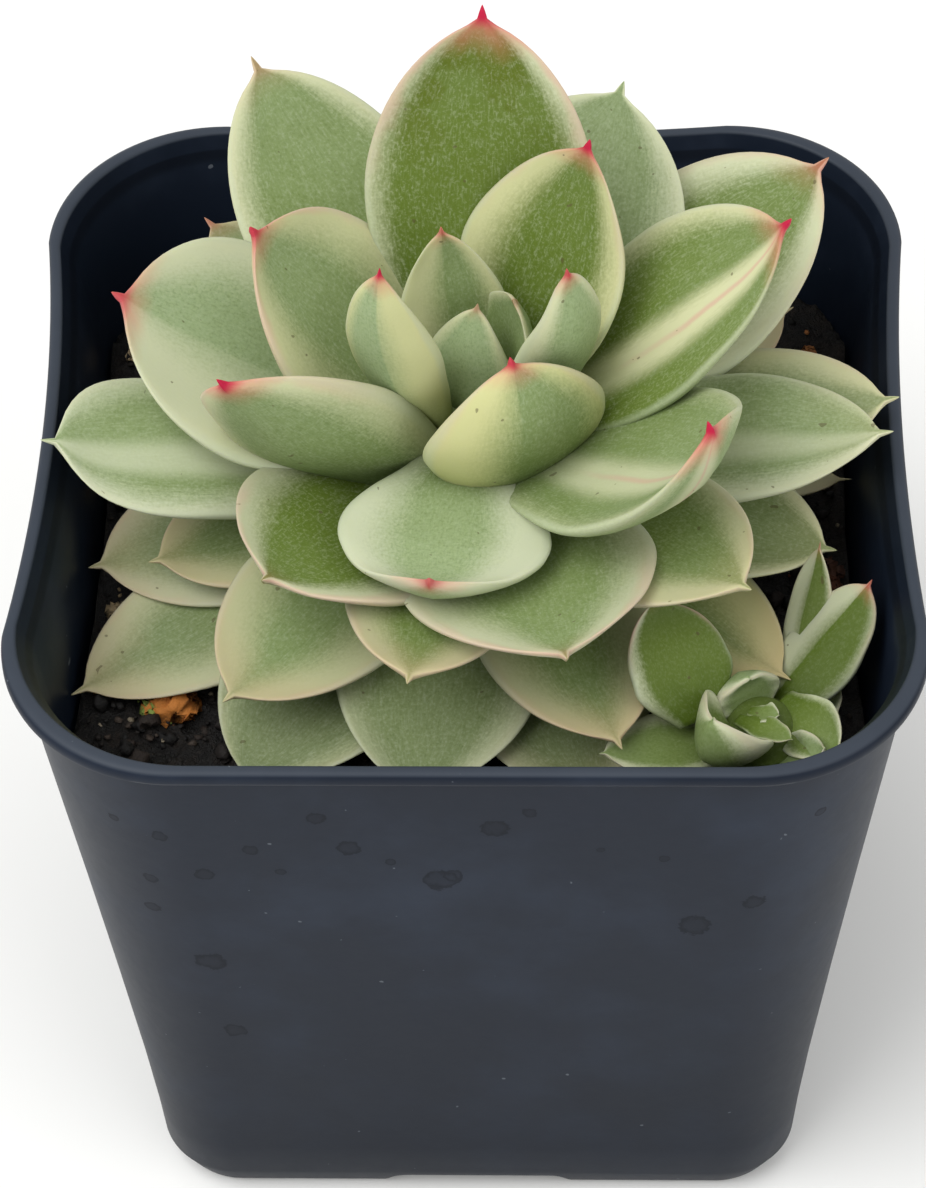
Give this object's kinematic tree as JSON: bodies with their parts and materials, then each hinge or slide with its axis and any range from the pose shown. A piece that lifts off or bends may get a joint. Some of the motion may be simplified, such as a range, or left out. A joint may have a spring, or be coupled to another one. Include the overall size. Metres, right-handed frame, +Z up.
{
  "type": "potted variegated mebina echeveria",
  "caption": "Fleshy rosette succulent with a small offset at its side, growing in dark potting mix in a tapered square nursery pot with rounded corners and notched feet.",
  "frame": {"origin": "middle of the plane that the pot's feet stand on", "axes": "+Z up out of the pot, +X to the right and -Y to the front, towards the viewer and the side that the rosette leans to"},
  "size_m": [0.064, 0.064, 0.0886],
  "materials": {
    "pot_plastic": "dark slate moulded plastic with a soft satin sheen",
    "soil_mix": "damp black-brown bark and peat mix",
    "leaf_green": "waxy sage green with cream-yellow margins and small red tips",
    "offset_green": "waxy green with paler margins and pinkish tips"
  },
  "bodies": {
    "root": {"pot": "pot_plastic", "soil": "soil_mix", "rosette": "leaf_green", "offset_rosette": "offset_green"}
  },
  "joints": []
}
